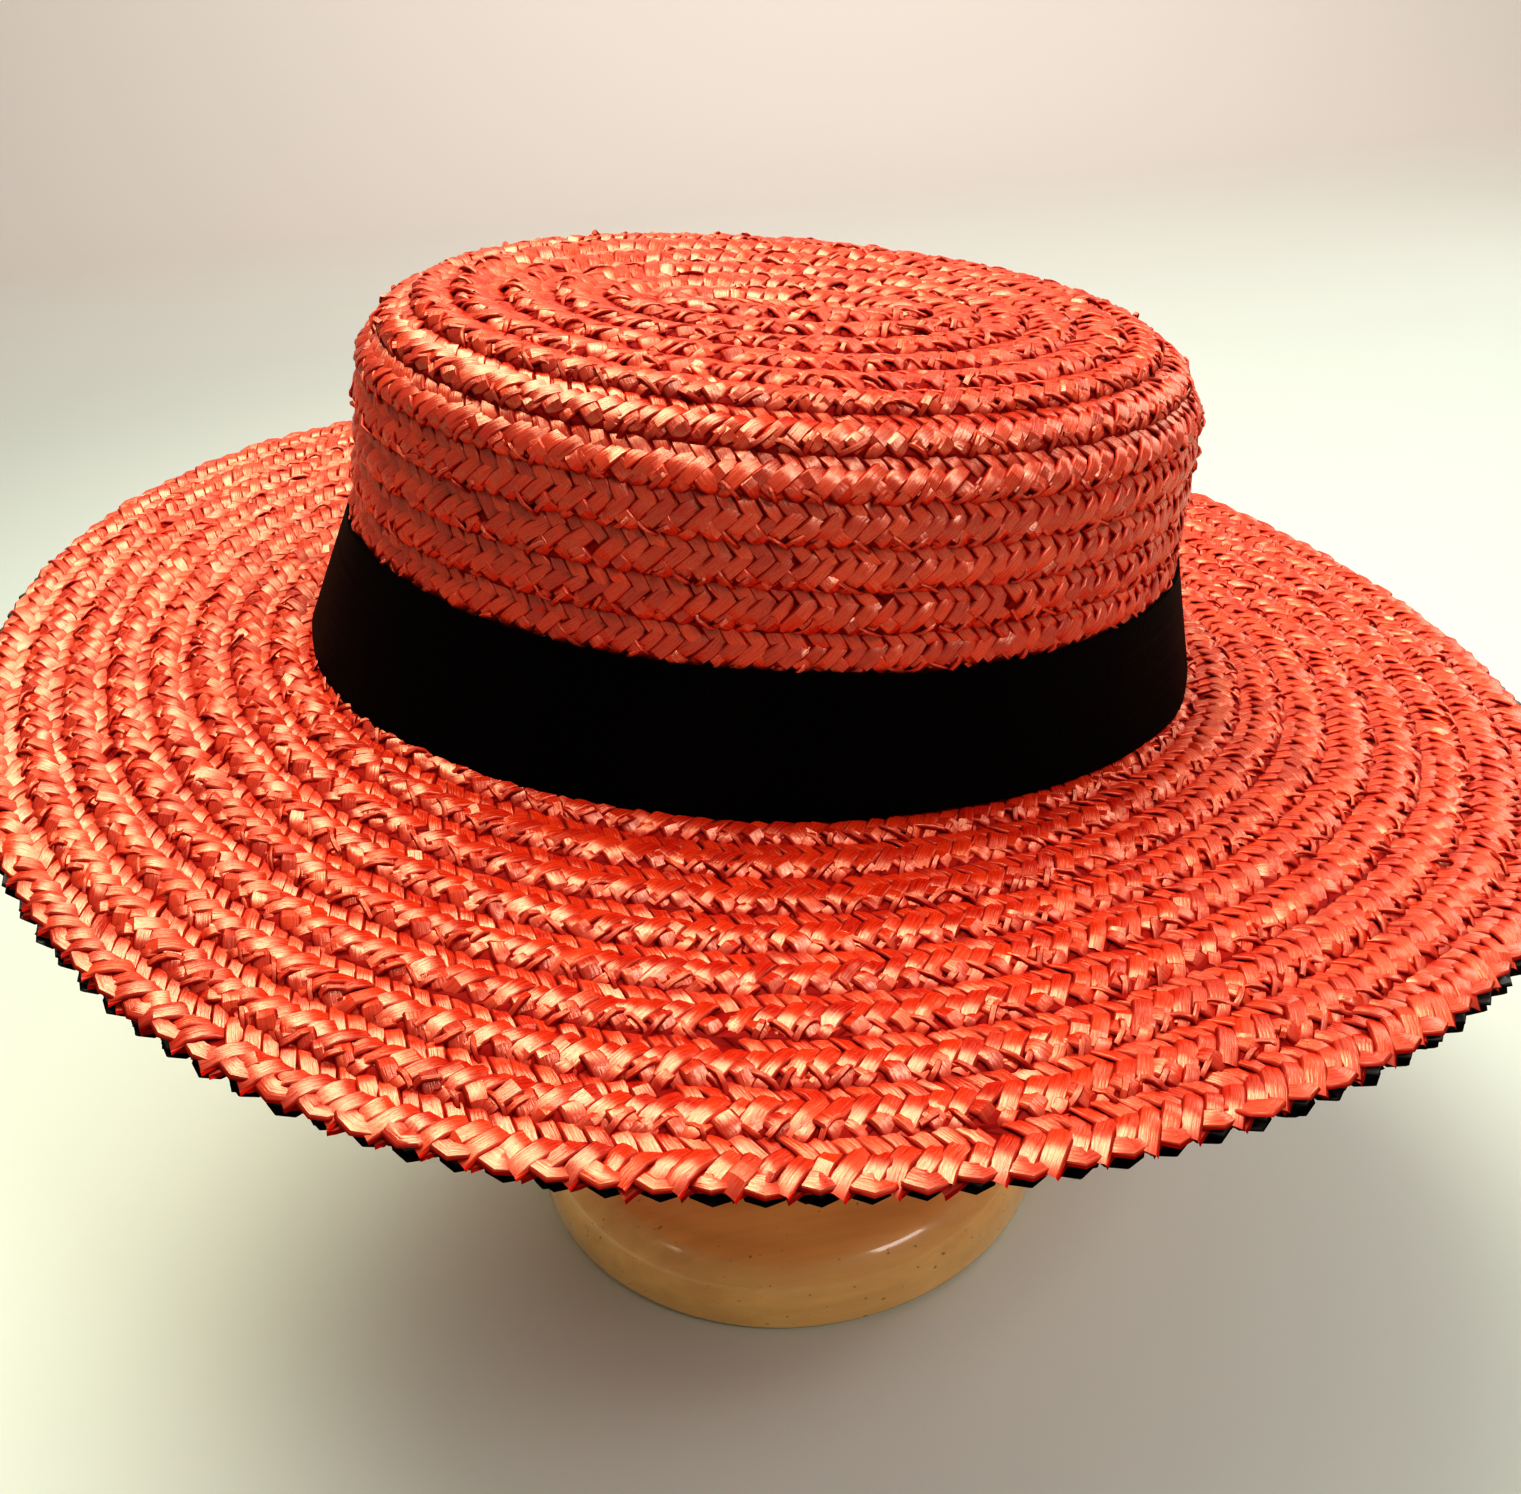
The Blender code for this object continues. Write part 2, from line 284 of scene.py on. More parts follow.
def crown_lengths():
    """Lengths of the outline's tip, corner and side, from the middle to the rim."""
    hat = sizes()
    half_width, height = corner_centre()
    corner = hat.corner_radius * (math.pi / 2 - hat.side_lean)
    side = height + hat.corner_radius * math.sin(hat.side_lean)
    return half_width, corner, side / math.cos(hat.side_lean)


def crown_surface(distance, turn, proud):
    """Points of the crown at a distance from the tip's middle along its outline.

    The outline is flat over the tip, then a round corner, then the leaning side. Each point is
    moved square to the outline by proud, and the outline's half width becomes an oval that is
    longer than wide by the oval stretch.
    """
    hat = sizes()
    tip, corner, _ = crown_lengths()
    centre_width, centre_height = corner_centre()
    distance = np.maximum(distance, 0.0)
    bend = math.pi / 2 - np.clip(distance - tip, 0.0, corner) / hat.corner_radius
    down = np.maximum(distance - tip - corner, 0.0)
    reach = hat.corner_radius + proud
    flat = np.minimum(distance - tip, 0.0)
    half_width = centre_width + flat + reach * np.cos(bend) + down * math.sin(hat.side_lean)
    height = centre_height + reach * np.sin(bend) - down * math.cos(hat.side_lean)
    return oval(half_width + hat.oval_stretch, half_width, turn, height)


def brim_warp(turn):
    """Height of the brim's edge over its level: a sum of cosine and sine waves of the turn."""
    return sum(
        wave.cosine * np.cos(wave.waves * turn) + wave.sine * np.sin(wave.waves * turn)
        for wave in BRIM_WAVES
    )


def brim_oval(share):
    """The brim's half length and half width at a share of the way from crown to edge."""
    hat = sizes()
    inner = hat.crown_half_width + hat.row_step + hat.seat_gap
    half_length = mix(inner + hat.oval_stretch, hat.brim_half_length, share)
    return half_length, mix(inner, hat.brim_half_width, share)


def brim_surface(share, turn, proud):
    """Points of the brim at a share of the way from the crown to the edge, proud of its top.

    Each is an oval between the crown's oval and the edge's, whose middle drifts with the share,
    and its height is the brim's level plus the share of the edge's warp.
    """
    hat = sizes()
    level = hat.brim_underside + hat.straw_wall + proud + brim_warp(turn) * share
    centre = (hat.brim_shift_x * share, hat.brim_shift_y * share)
    return oval(*brim_oval(share), turn, level, *centre)


def edge_surface(share, turn, proud):
    """Points of the edge braid's underside, from its inner edge at 0 to its outer edge at 1.

    The braid lies within the brim near the front and the back and reaches past it near the two
    ends: it moves out with the square of the cosine of the turn from where it reaches furthest.
    """
    hat = sizes()
    brim_width = hat.brim_half_width - hat.crown_half_width
    moved = mix(-hat.edge_setback, hat.edge_reach, np.cos(turn - hat.edge_turn) ** 2)
    outwards = moved + (share - 1.0) * hat.edge_width
    drop = 2 * hat.straw_wall + hat.seat_gap
    return brim_surface(1.0 + outwards / brim_width, turn, -drop - proud)


def edge_top_surface(share, turn, proud):
    """Points of the edge braid's upper face, which lies against the brim."""
    return edge_surface(share, turn, -sizes().straw_wall - proud)


def underbrim_surface(share, turn, proud):
    """Points of the brim's underside, sunk below it by proud."""
    return brim_surface(share, turn, -sizes().straw_wall - proud)


def ridge(down):
    """Height of a row's ridge at a share of its width, read between the ridge's points."""
    return np.interp(down, RIDGE_SHARES, np.array(RIDGE_HEIGHTS) * MM)


def hat_matrix():
    """Matrix that carries the level hat to its tilted place on the stand."""
    hat = sizes()
    place = Vector((hat.shift_x, hat.shift_y, hat.rim_height))
    turn = Euler((hat.tilt_forward, hat.tilt_sideways, 0.0))
    return Matrix.Translation(place) @ turn.to_matrix().to_4x4()


def seat(points):
    """Carry level points to the hat's place: the tilt's matrix times each point, plus the place."""
    matrix = np.array(hat_matrix())
    return points @ matrix[:3, :3].T + matrix[:3, 3]


def oval_table(half_length, half_width):
    """Turns round an oval and the length run at each, summed over short chords."""
    turn = np.linspace(0.0, math.tau, TABLE_POINTS)
    points = oval(half_length, half_width, turn, 0.0)
    chords = np.linalg.norm(np.diff(points, axis=0), axis=1)
    return turn, np.concatenate([[0.0], np.cumsum(chords)])


def turns_at(shares, turn, run):
    """Turns at which shares of the whole run are reached, past one round as well."""
    rounds = np.floor(shares)
    return np.interp(shares - rounds, run / run[-1], turn) + rounds * math.tau


def add_mesh(name, points, corners, starts, material, uv, sharp, **values):
    """Make a mesh object from arrays of points, face corners and each face's first corner.

    Any further arrays are values that the points carry, under their own names.
    """
    mesh = bpy.data.meshes.new(name)
    mesh.vertices.add(len(points))
    mesh.vertices.foreach_set("co", points.astype(np.float32).ravel())
    mesh.loops.add(len(corners))
    mesh.loops.foreach_set("vertex_index", corners.astype(np.int32))
    mesh.polygons.add(len(starts))
    mesh.polygons.foreach_set("loop_start", starts.astype(np.int32))
    mesh.update(calc_edges=True)
    layer = mesh.uv_layers.new(name="weave")
    layer.uv.foreach_set("vector", uv.astype(np.float32).ravel())
    for key, value in values.items():
        store = mesh.attributes.new(key, "FLOAT", "POINT")
        store.data.foreach_set("value", value.astype(np.float32).ravel())
    mesh.shade_smooth()
    mesh.set_sharp_from_angle(angle=math.radians(sharp))
    mesh.materials.append(material)
    piece = bpy.data.objects.new(name, mesh)
    bpy.context.collection.objects.link(piece)
    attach(piece, BODY)
    return piece


def straw_paths(straw, count, row_width, chances):
    """Paths and widths of one straw's copies: a creased quadratic curve through three points.

    The curve bends halfway to the middle point, whose height is doubled for it. Each copy's
    points, creases and width are moved a little by chance.
    """
    braid = sizes("braid")
    share = np.linspace(0.0, 1.0, PATH_POINTS)[None, :, None]
    knots = np.reshape(straw[:9], (3, 3)) * (braid.period, row_width, MM)
    knots[1, 2] *= 2
    jitter = braid.jitter * (1.0 if straw.width > SPLINTER_WIDTH else SPLINTER_MOVES)
    knots = knots[None] + chances.normal(0.0, 1.0, (count, 3, 3)) * jitter * POINT_MOVES
    first, middle, last = knots[:, None, 0], knots[:, None, 1], knots[:, None, 2]
    path = first * (1 - share) ** 2 + middle * 2 * share * (1 - share) + last * share**2
    path += chances.normal(0.0, 1.0, (count, PATH_POINTS, 3)) * braid.crease * CREASE_MOVES
    width = braid.strip_width * straw.width * chances.uniform(*WIDTH_CHANCE, (count, 1, 1))
    return path, width


def straw_grid(path, width, chances):
    """Grid over each path: square to its way along the row, flat with lowered long edges.

    The drop is the pillow times the sixth power of the distance from the middle. Each straw is
    rolled to one side by a chance slope that changes evenly along it, and folded near its middle.
    """
    braid = sizes("braid")
    across = np.array(ACROSS)
    way = np.gradient(path[..., :2], axis=1)
    way /= np.linalg.norm(way, axis=-1, keepdims=True)
    side = np.stack([-way[..., 1], way[..., 0]], axis=-1)
    spread = across[None, None, :, None] * width[..., None] / 2
    flat = path[:, :, None, :2] + side[:, :, None] * spread
    start, end = chances.normal(0.0, braid.twist, (2, len(path), 1, 1))
    roll = mix(start, end, np.linspace(0.0, 1.0, PATH_POINTS)[None, :, None])
    fold = chances.normal(0.0, braid.crease, (len(path), 1, 1)) * (across == ACROSS[2])
    height = path[:, :, None, 2] - braid.pillow * across**6 + roll * spread[..., 0] + fold
    return flat, height


def straw_faces(count, rows, columns, faces_down):
    """Corners and first corners of the faces of many grids, each closed by one face behind.

    A grid's own way round faces down, so the straws that face up take its columns backwards.
    """
    index = np.arange(rows * columns).reshape(rows, columns)
    index = index if faces_down else index[:, ::-1]
    quads = np.stack([index[:-1, :-1], index[1:, :-1], index[1:, 1:], index[:-1, 1:]], axis=-1)
    border = np.concatenate([index[0, :-1], index[:-1, -1], index[-1, :0:-1], index[:0:-1, 0]])
    one = np.concatenate([quads.ravel(), border])
    firsts = np.append(np.arange(quads.size // 4) * 4, quads.size)
    shift = np.arange(count)[:, None]
    corners = one[None] + shift * rows * columns
    starts = firsts[None] + shift * len(one)
    return corners.ravel(), starts.ravel()


def row_pitch(row):
    """Distance between a row's two edges at the hat's front."""
    edges = [row.surface(share, -math.pi / 2, 0.0) for share in (row.start, row.end)]
    return np.linalg.norm(edges[1] - edges[0])


def darkness(row, height, down):
    """Painted shade of straws at heights and shares of the row's width: sunk low, and in grooves.
    """
    # painted shade where a straw lies below the others
    hollow = np.clip((HOLLOW_TOP - height) / HOLLOW_DEPTH, 0.0, HOLLOW_MOST)
    # painted shade in the grooves along the row's two edges
    past_edge = np.maximum(down - (1.0 - GROOVE_START), GROOVE_START - down)
    return np.maximum(hollow, np.clip(past_edge / GROOVE_WIDTH, 0.0, 1.0) * row.groove)


def woven_row(row):
    """Points, weave places, chances and painted shade of the straws in one closed row of braid.

    The plait's repeats are spread evenly along the row's oval. Each straw's place along the row
    becomes a turn, its place across the row a distance, and its height adds to the row's ridge.
    A row wider than the straws are right for has straws that are wider by half as much.
    """
    braid = sizes("braid")
    chances = np.random.default_rng(row.seed)
    table = oval_table(row.half_length, row.half_width)
    count = max(int(round(table[1][-1] / braid.period)), 3)
    row_width = row_pitch(row)
    result = []
    for straw in row.plait:
        repeats = np.flatnonzero(chances.uniform(size=count) < straw.often)
        path, width = straw_paths(straw, len(repeats), row_width, chances)
        flat, height = straw_grid(path, width * (1.0 + row_width / braid.row_width) / 2, chances)
        repeat = repeats[:, None, None] + flat[..., 0] / braid.period + row.phase
        turn = turns_at(repeat / count, *table)
        down = flat[..., 1] / row_width
        lift = height + row.fullness * ridge(down)
        points = row.surface(mix(row.start, row.end, down), turn, lift)
        along = np.linspace(0.0, 1.0, PATH_POINTS)[:, None]
        weave = np.empty((*turn.shape, 2))
        weave[..., 0], weave[..., 1] = along, (np.array(ACROSS) + 1.0) / 2
        chance = np.broadcast_to(chances.uniform(0.0, 1.0, (len(repeats), 1, 1)), turn.shape)
        result.append((points, weave, chance, darkness(row, height, down)))
    return [np.concatenate(parts) for parts in zip(*result)]


def weave_rows(name, rows, material, faces_down=False):
    """Make one piece from all the straws of several rows."""
    parts = [woven_row(row) for row in rows]
    points, weave, chance, hollow = (np.concatenate(part) for part in zip(*parts))
    corners, starts = straw_faces(*chance.shape, faces_down)
    mesh = (seat(points.reshape(-1, 3)), corners, starts, material, weave.reshape(-1, 2)[corners])
    return add_mesh(name, *mesh, STRAW_SHARP, chance=chance, hollow=hollow)


def shell(name, rings, down, material, capped=False):
    """Join closed rings in turn into one shell.

    The last ring joins the first, or, where the shell is capped, one flat face closes each of
    the two. Its weave places are the turn's share and the given places down the shell.
    """
    count, points = rings.shape[:2]
    index = np.arange(count * points).reshape(count, points)
    upper, lower = (index[:-1], index[1:]) if capped else (index, np.roll(index, -1, axis=0))
    high, low = (down[:-1], down[1:]) if capped else (down, np.append(down[1:], down[-1]))
    quads = np.stack([upper, lower, np.roll(lower, -1, axis=1), np.roll(upper, -1, axis=1)], -1)
    corners, starts = quads.ravel(), np.arange(quads.size // 4) * 4
    share = np.broadcast_to(np.arange(points) / points, upper.shape)
    high, low = (np.broadcast_to(level[:, None], upper.shape) for level in (high, low))
    sides = [(share, high), (share, low), (share + 1 / points, low), (share + 1 / points, high)]
    uv = np.stack([np.stack(side, axis=-1) for side in sides], axis=2).reshape(-1, 2)
    if capped:
        starts = np.append(starts, [len(corners), len(corners) + points])
        corners = np.concatenate([corners, index[0], index[-1, ::-1]])
        uv = np.concatenate([uv, np.zeros((2 * points, 2))])
    return add_mesh(name, rings.reshape(-1, 3), corners, starts, material, uv, SHELL_SHARP)


class Nodes:
    """A node tree that is filled by short calls."""

    def __init__(self, tree):
        self.tree = tree

    def feed(self, made, inputs):
        """Feed a node's inputs, each from a socket or with a value."""
        for key, value in inputs.items():
            if isinstance(value, bpy.types.NodeSocket):
                self.tree.links.new(value, made.inputs[key])
            else:
                made.inputs[key].default_value = value

    def node(self, kind, inputs=None, **settings):
        """Add a node, set its properties and feed its inputs."""
        made = self.tree.nodes.new(kind)
        for name, value in settings.items():
            setattr(made, name, value)
        self.feed(made, inputs or {})
        return made

    def math(self, operation, first, second=0.0, third=0.0):
        """Add a math node and return its value."""
        inputs = {0: first, 1: second, 2: third}
        return self.node("ShaderNodeMath", inputs, operation=operation).outputs[0]

    def blend(self, factor, first, second):
        """Mix two colours by a factor."""
        inputs = {0: factor, 6: first, 7: second}
        return self.node("ShaderNodeMix", inputs, data_type="RGBA").outputs[2]

    def range(self, value, low, high, start=0.0, end=1.0):
        """Carry a value from one range to another, held within the second."""
        inputs = {"Value": value, "From Min": low, "From Max": high, "To Min": start, "To Max": end}
        return self.node("ShaderNodeMapRange", inputs).outputs["Result"]

    def noise(self, vector, scale, detail=2.0, roughness=0.5):
        """Add a noise texture and return its value."""
        inputs = {"Vector": vector, "Scale": scale, "Detail": detail, "Roughness": roughness}
        return self.node("ShaderNodeTexNoise", inputs).outputs["Fac"]

    def place(self):
        """Places in the object."""
        return self.node("ShaderNodeTexCoord").outputs["Object"]

    def weave(self):
        """The piece's own weave places."""
        return self.node("ShaderNodeUVMap", uv_map="weave").outputs["UV"]

    def attribute(self, name):
        """Value that the piece's points carry."""
        return self.node("ShaderNodeAttribute", attribute_name=name).outputs["Fac"]

    def parts(self, vector):
        """The three parts of a vector."""
        return self.node("ShaderNodeSeparateXYZ", {0: vector}).outputs

    def scaled(self, vector, scale):
        """Scale a vector about its origin."""
        return self.node("ShaderNodeMapping", {"Vector": vector, "Scale": scale}).outputs["Vector"]

    def relief(self, height, strength, distance):
        """Turn a height into a normal."""
        inputs = {"Height": height, "Strength": strength, "Distance": distance}
        return self.node("ShaderNodeBump", inputs).outputs["Normal"]

    def group(self, tree, inputs):
        """Place a node group and return what it puts out."""
        return self.node("ShaderNodeGroup", inputs, node_tree=tree).outputs


def new_group(name, inputs, outputs):
    """Start a shader node group and return its nodes, what it is given and its result.

    An input with a value is a number, and one without is a vector. Every output is a number.
    """
    tree = bpy.data.node_groups.new(name, "ShaderNodeTree")
    for socket, value in inputs.items():
        kind = "NodeSocketVector" if value is None else "NodeSocketFloat"
        made = tree.interface.new_socket(name=socket, in_out="INPUT", socket_type=kind)
        if value is not None:
            made.default_value = value
    for socket in outputs:
        tree.interface.new_socket(name=socket, in_out="OUTPUT", socket_type="NodeSocketFloat")
    nodes = Nodes(tree)
    return nodes, nodes.node("NodeGroupInput").outputs, nodes.node("NodeGroupOutput")


def straw_fibre_group(name):
    """Fine streaks along a straw, its own tone and painted shade at its splits and edges, for both
    dyed straws.
    """
    inputs = {"Weave": None, "Chance": 0.5, "Object": None, "Streaks": 11.0}
    nodes, given, result = new_group(name, inputs, ("Tone", "Height", "Split"))
    along, across, _ = nodes.parts(given["Weave"])
    scales = ((along, 1.6), (across, given["Streaks"]), (given["Chance"], 91.0))
    place = {axis: nodes.math("MULTIPLY", *pair) for axis, pair in enumerate(scales)}
    stretched = nodes.node("ShaderNodeCombineXYZ", place).outputs[0]
    streak = nodes.noise(stretched, scale=1.0, detail=3.0, roughness=0.65)
    patch = nodes.noise(given["Object"], scale=55.0)
    tone = nodes.math("MULTIPLY_ADD", streak, 0.75, nodes.math("MULTIPLY", patch, 0.35))
    # painted shade in the splits, where the streaks run low
    gap = nodes.range(streak, 0.28, 0.37, 0.45, 0.0)
    # painted shade along the straw's long edges, where it meets the next straw
    rim = nodes.math("ABSOLUTE", nodes.math("SUBTRACT", across, 0.5))
    split_and_edge_shade = nodes.math("ADD", gap, nodes.range(rim, 0.36, 0.46, 0.0, 0.85))
    nodes.feed(result, {"Tone": tone, "Height": streak, "Split": split_and_edge_shade})
    return nodes.tree


def plait_relief_group(name):
    """Relief of sewn braid for the hidden faces: slanting straws in two lanes in each row."""
    nodes, given, result = new_group(name, {"Weave": None, "Repeats": 70.0}, ("Height",))
    around, down, _ = nodes.parts(given["Weave"])
    repeat = nodes.math("MULTIPLY", around, given["Repeats"])
    row = nodes.math("FRACT", down)
    side = nodes.math("SIGN", nodes.math("SUBTRACT", row, 0.42))
    slant = nodes.math("MULTIPLY", nodes.math("MULTIPLY", row, side), 1.1)
    place = nodes.math("MULTIPLY", nodes.math("ADD", repeat, slant), math.tau)
    rise = nodes.math("POWER", nodes.math("ABSOLUTE", nodes.math("SINE", place)), 0.35)
    nodes.feed(result, {"Height": nodes.math("MULTIPLY_ADD", row, 0.8, rise)})
    return nodes.tree


def kept(name, make, *values):
    """Material or group of that name, made on first use."""
    store = bpy.data.materials if name in bpy.data.materials else bpy.data.node_groups
    return store[name] if name in store else make(name, *values)


class Material(Nodes):
    """A material whose nodes are filled by short calls."""

    def __init__(self, name):
        self.made = bpy.data.materials.new(name)
        self.made.use_nodes = True
        super().__init__(self.made.node_tree)

    def finish(self, looks):
        """Feed the Principled shader and return the material."""
        self.feed(self.tree.nodes["Principled BSDF"], looks)
        return self.made


def rgba(value):
    """A colour with full alpha."""
    return (*value, 1.0)


def straw_material(name, deep, pale, shine, tint, refraction):
    """Glossy dyed straw: each straw has its own tone between two colours and fine streaks.

    Painted shade makes it dark and dull in its splits, at its long edges, where it lies low and in
    grooves.
    """
    nodes = Material(name)
    chance = nodes.attribute("chance")
    inputs = {"Weave": nodes.weave(), "Chance": chance, "Object": nodes.place()}
    fibre = nodes.group(kept("straw_fibres", straw_fibre_group), inputs)
    tone = nodes.math("MULTIPLY_ADD", chance, 0.5, nodes.math("MULTIPLY", fibre["Tone"], 0.9))
    straw = nodes.blend(nodes.range(tone, 0.4, 1.0), rgba(deep), rgba(pale))
    # painted shade: that which the points carry, plus that in splits and along long edges
    deeper = nodes.range(nodes.attribute("hollow"), 0.2, 1.0, 0.0, 0.85)
    shaded = nodes.math("MINIMUM", nodes.math("ADD", fibre["Split"], deeper), 0.95)
    # colour of the painted shade
    dark = (0.7 * deep[0], 0.3 * deep[1], 0.3 * deep[2])
    rough = nodes.range(fibre["Height"], 0.3, 0.7, shine, shine + 0.16)
    looks = {
        # painted shade darkens the colour, dulls it and tints its reflection dark red
        "Base Color": nodes.blend(shaded, straw, rgba(dark)),
        "Roughness": nodes.math("MULTIPLY_ADD", shaded, 0.4, rough),
        "Metallic": shaded,
        "IOR": refraction,
        "Specular IOR Level": 1.0,
        "Specular Tint": rgba(tint),
        "Normal": nodes.relief(fibre["Height"], 0.6, 0.2 * MM),
    }
    return nodes.finish(looks)


def ground_material(name, deep, pale, repeats):
    """Straw of the sewn ground below the plait and of the hidden faces, with painted shade in its
    low relief.
    """
    nodes = Material(name)
    inputs = {"Weave": nodes.weave(), "Repeats": repeats}
    height = nodes.group(kept("plait_relief", plait_relief_group), inputs)["Height"]
    patch = nodes.noise(nodes.place(), scale=220.0, detail=3.0, roughness=0.6)
    # painted shade: darker where the relief is low, and a chance patch of tone
    factor = nodes.math("MULTIPLY", nodes.range(height, 0.3, 1.6), patch)
    looks = {
        "Base Color": nodes.blend(factor, rgba(deep), rgba(pale)),
        "Roughness": 0.6,
        "Specular IOR Level": 0.15,
        "Normal": nodes.relief(height, 0.8, 0.9 * MM),
    }
    return nodes.finish(looks)


def ribbon_material():
    """Dull black ribbon with close ribs across it, a little paler where it is dusty."""
    ribbon = sizes("ribbon")
    nodes = Material("ribbed_ribbon")
    ribs = round(ribbon_flat()[0] / ribbon.rib)
    around, _, _ = nodes.parts(nodes.weave())
    rib = nodes.math("SINE", nodes.math("MULTIPLY", around, math.tau * ribs))
    threads = nodes.noise(nodes.scaled(nodes.weave(), (1.0, 90.0, 1.0)), scale=3.0)
    dust = nodes.noise(nodes.place(), scale=34.0, detail=4.0, roughness=0.6)
    tone = nodes.range(nodes.math("MULTIPLY_ADD", rib, 0.25, dust), 0.3, 0.9)
    dusty = tuple(min(3.2 * part, 1.0) for part in ribbon.tint)
    height = nodes.math("MULTIPLY_ADD", threads, 0.25, rib)
    looks = {
        "Base Color": nodes.blend(tone, rgba(ribbon.tint), rgba(dusty)),
        "Roughness": nodes.range(threads, 0.3, 0.7, 0.5, 0.68),
        "Specular IOR Level": 0.04,
        "Normal": nodes.relief(height, 0.4, 0.12 * MM),
    }
    return nodes.finish(looks)


def wood_material():
    """Varnished turned wood: long grain, small dark dents and a clear coat."""
    stand = sizes("stand")
    nodes = Material("turned_wood")
    place = nodes.place()
    stretched = nodes.scaled(place, (9.0, 95.0, 95.0))
    grain = nodes.noise(stretched, scale=1.0, detail=4.0, roughness=0.6)
    cloud = nodes.noise(place, scale=14.0, detail=3.0)
    rings = nodes.math("MULTIPLY_ADD", grain, 0.6, nodes.math("MULTIPLY", cloud, 0.6))
    wood = nodes.blend(nodes.range(rings, 0.45, 0.78), rgba(stand.pale), rgba(stand.brown))
    close = nodes.scaled(place, (380.0, 700.0, 700.0))
    specks = nodes.noise(close, scale=1.0, detail=1.0, roughness=0.3)
    dents = nodes.range(specks, 0.74, 0.80, 0.0, 0.6)
    smear = nodes.noise(place, scale=38.0, detail=4.0, roughness=0.6)
    height = nodes.math("SUBTRACT", grain, dents)
    looks = {
        "Base Color": nodes.blend(dents, wood, (0.06, 0.03, 0.012, 1.0)),
        "Roughness": nodes.range(smear, 0.3, 0.7, 0.26, 0.42),
        "Coat Weight": 0.9,
        "Coat Roughness": 0.10,
        "Normal": nodes.relief(height, 0.15, 0.3 * MM),
    }
    return nodes.finish(looks)


def floor_material():
    """Matte pale grey of the floor, turning a little warmer towards the backdrop."""
    nodes = Material("pale_floor")
    place = nodes.place()
    cloud = nodes.noise(place, scale=3.0, detail=3.0)
    near = nodes.blend(cloud, (0.63, 0.70, 0.63, 1.0), (0.68, 0.75, 0.68, 1.0))
    _, depth, _ = nodes.parts(place)
    shade = nodes.blend(nodes.range(depth, 0.6, 2.0), near, (0.74, 0.69, 0.64, 1.0))
    return nodes.finish({"Base Color": shade, "Roughness": 0.75})


def braid_material(name):
    """Dyed straw of the plait, or of the ground below it, by its name."""
    braid = sizes("braid")
    faded = [2.2 * part for part in braid.black]
    white, peach = (1.0, 1.0, 1.0), (1.0, 0.80, 0.57)
    made = {
        "dyed_red_straw": (straw_material, braid.red, braid.orange, 0.20, peach, 1.95),
        "dyed_black_straw": (straw_material, braid.black, faded, 0.25, white, 1.5),
        # the grounds are darker than their plait's straw: painted shade where they show between
        # straws
        "red_ground": (ground_material, (0.20, 0.003, 0.001), (0.50, 0.015, 0.004), 70.0),
        "black_ground": (ground_material, (0.002, 0.002, 0.002), (0.008, 0.008, 0.008), 140.0),
    }
    return kept(name, *made[name])


def ring_turns(count):
    """Even turns round an oval."""
    return np.arange(count) * math.tau / count


def crown_edges():
    """Distances of the rows' edges: even over the tip, and even over the corner and the side."""
    hat = sizes()
    tip, corner, side = crown_lengths()
    edges = [tip * row / hat.tip_rows for row in range(hat.tip_rows)]
    edges += [tip + (corner + side) * row / hat.side_rows for row in range(hat.side_rows + 1)]
    return np.array(edges)


def crown_fullness(row):
    """How full a row's ridge is: the side's rows lie flatter than the tip's."""
    braid = sizes("braid")
    on_side = row >= sizes().tip_rows + CORNER_ROWS
    return braid.side_fullness if on_side else braid.tip_fullness


def crown_rows():
    """Rows of braid on the crown, down to the last that shows over the ribbon."""
    hat = sizes()
    edges = crown_edges()
    rows = []
    for index, (start, end) in enumerate(zip(edges, edges[1:])):
        half_length, _, _ = crown_surface((start + end) / 2, 0.0, 0.0)
        if crown_surface(start, 0.0, 0.0)[2] < sizes("ribbon").top:
            break
        oval_sizes = (half_length, half_length - hat.oval_stretch)
        look = (PLAIT, crown_fullness(index), index * ROW_SHIFT, SEEDS["crown"] + index)
        rows.append(Row(crown_surface, start, end, *oval_sizes, *look))
    return rows


def brim_rows(surface, plait, seed):
    """Rows of braid on one face of the brim, evenly out to the last, which has a pointed edge."""
    hat, braid = sizes(), sizes("braid")
    rows = []
    for index in range(hat.brim_rows):
        start, end = index / hat.brim_rows, (index + 1) / hat.brim_rows
        phase = (hat.brim_rows - 1 - index) * ROW_SHIFT
        look = (plait, braid.brim_fullness, phase, seed + index)
        rows.append(Row(surface, start, end, *brim_oval((start + end) / 2), *look))
    rows[-1] = rows[-1]._replace(plait=EDGE_PLAIT, fullness=braid.edge_fullness, groove=0.0)
    return rows


def edge_rows():
    """The edge braid's lower face, and its upper face's loops, between the points of the brim."""
    row = brim_rows(brim_surface, UPPER_LANES, SEEDS["edge"])[-1]
    row = row._replace(start=0.0, end=1.0, phase=0.5)
    lower = row._replace(surface=edge_surface, plait=UPPER_LANES + EDGE_LOOPS, seed=SEEDS["edge"])
    return lower, row._replace(surface=edge_top_surface, plait=EDGE_LOOPS, seed=SEEDS["edge_top"])


def ground_height(row, fullness):
    """Height of the ground below the plait: the ridge of the row less a little."""
    return fullness * ridge(row % 1.0) - GROUND_DEPTH


